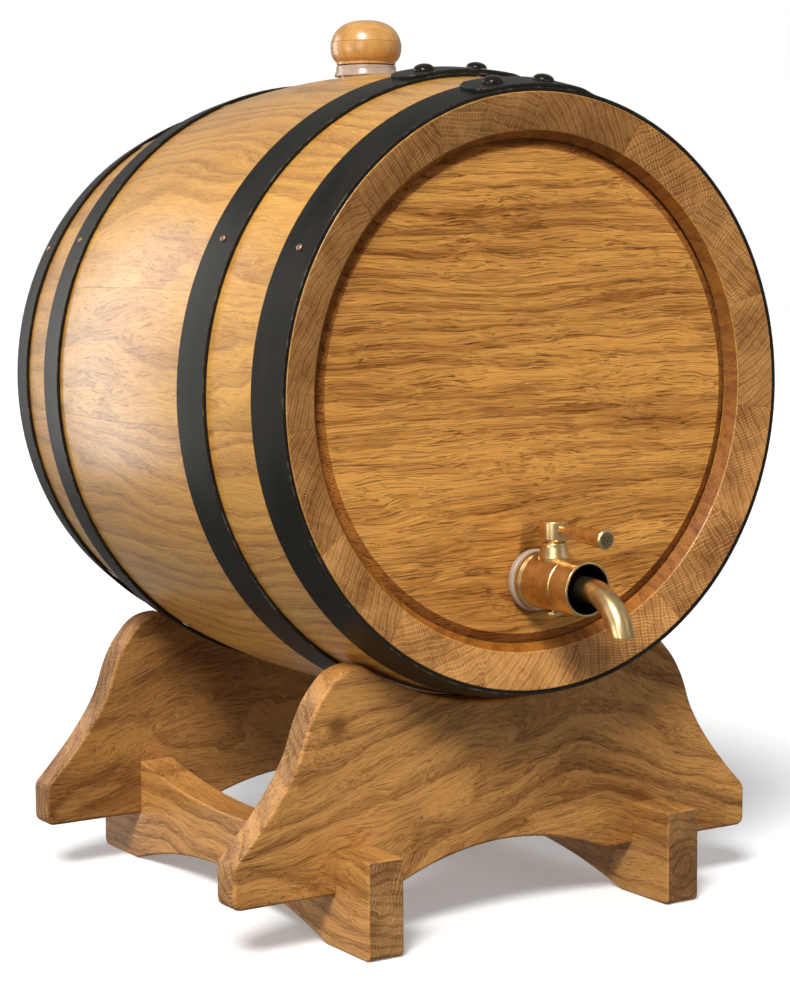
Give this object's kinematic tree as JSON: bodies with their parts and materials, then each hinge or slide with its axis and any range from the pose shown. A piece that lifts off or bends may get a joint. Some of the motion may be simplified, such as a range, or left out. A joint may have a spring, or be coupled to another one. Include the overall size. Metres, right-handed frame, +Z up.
{
  "type": "oak wine barrel",
  "caption": "Small oak wine barrel with black steel hoops, a brass tap and a turned wooden bung, lying on its oak cradle stand.",
  "frame": {"origin": "on the surface the cradle stands on, under the middle of the whole object's box, spout included", "axes": "+Z up; the keg's axis lies along Y, and the tapped head faces -Y"},
  "size_m": [0.189, 0.2097, 0.2686],
  "materials": {
    "oak_staves": "satin",
    "oak_heads": "satin",
    "oak_cradle": "satin",
    "bung_wood": "gloss",
    "hoop_steel": "satin",
    "nail_copper": "aged",
    "brass": "brushed",
    "silicone": "translucent"
  },
  "bodies": {
    "cradle": {"cradle_board_front": "oak_cradle", "cradle_board_rear": "oak_cradle", "cradle_rail_left": "oak_cradle", "cradle_rail_right": "oak_cradle"},
    "keg": {"stave_01": "oak_staves", "stave_02": "oak_staves", "stave_03": "oak_staves", "stave_04": "oak_staves", "stave_05": "oak_staves", "stave_06": "oak_staves", "stave_07": "oak_staves", "stave_08": "oak_staves", "stave_09": "oak_staves", "stave_10": "oak_staves", "stave_11": "oak_staves", "stave_12": "oak_staves", "stave_13": "oak_staves", "stave_14": "oak_staves", "stave_15": "oak_staves", "head_front": "oak_heads", "head_rear": "oak_heads", "hoop_1": "hoop_steel", "hoop_2": "hoop_steel", "hoop_3": "hoop_steel", "hoop_4": "hoop_steel", "hoop_1_rivet_1": "hoop_steel", "hoop_1_rivet_2": "hoop_steel", "hoop_2_rivet_1": "hoop_steel", "hoop_2_rivet_2": "hoop_steel", "hoop_3_rivet_1": "hoop_steel", "hoop_3_rivet_2": "hoop_steel", "hoop_4_rivet_1": "hoop_steel", "hoop_4_rivet_2": "hoop_steel", "hoop_1_nail_1": "nail_copper", "hoop_1_nail_2": "nail_copper", "hoop_2_nail_1": "nail_copper", "hoop_2_nail_2": "nail_copper", "hoop_3_nail_1": "nail_copper", "hoop_3_nail_2": "nail_copper", "hoop_4_nail_1": "nail_copper", "hoop_4_nail_2": "nail_copper", "tap_body": "brass", "tap_washer": "silicone", "tap_nut": "brass", "tap_spout": "brass"},
    "bung": {"bung": "bung_wood", "bung_seal": "silicone"},
    "key": {"tap_key": "brass", "tap_lever": "brass", "tap_key_screw": "brass"}
  },
  "joints": [
    {"name": "keg_lift", "type": "slide", "parent": "cradle", "child": "keg", "axis": [0, 0, 1], "range_m": [0, 0.05]},
    {"name": "bung_pull", "type": "slide", "parent": "keg", "child": "bung", "axis": [0, 0, 1], "range_m": [0, 0.03]},
    {"name": "key_turn", "type": "hinge", "parent": "keg", "child": "key", "pos_m": [0, -0.07015, 0.1028], "axis": [0, 0, 1], "range_deg": [0, 90]}
  ]
}
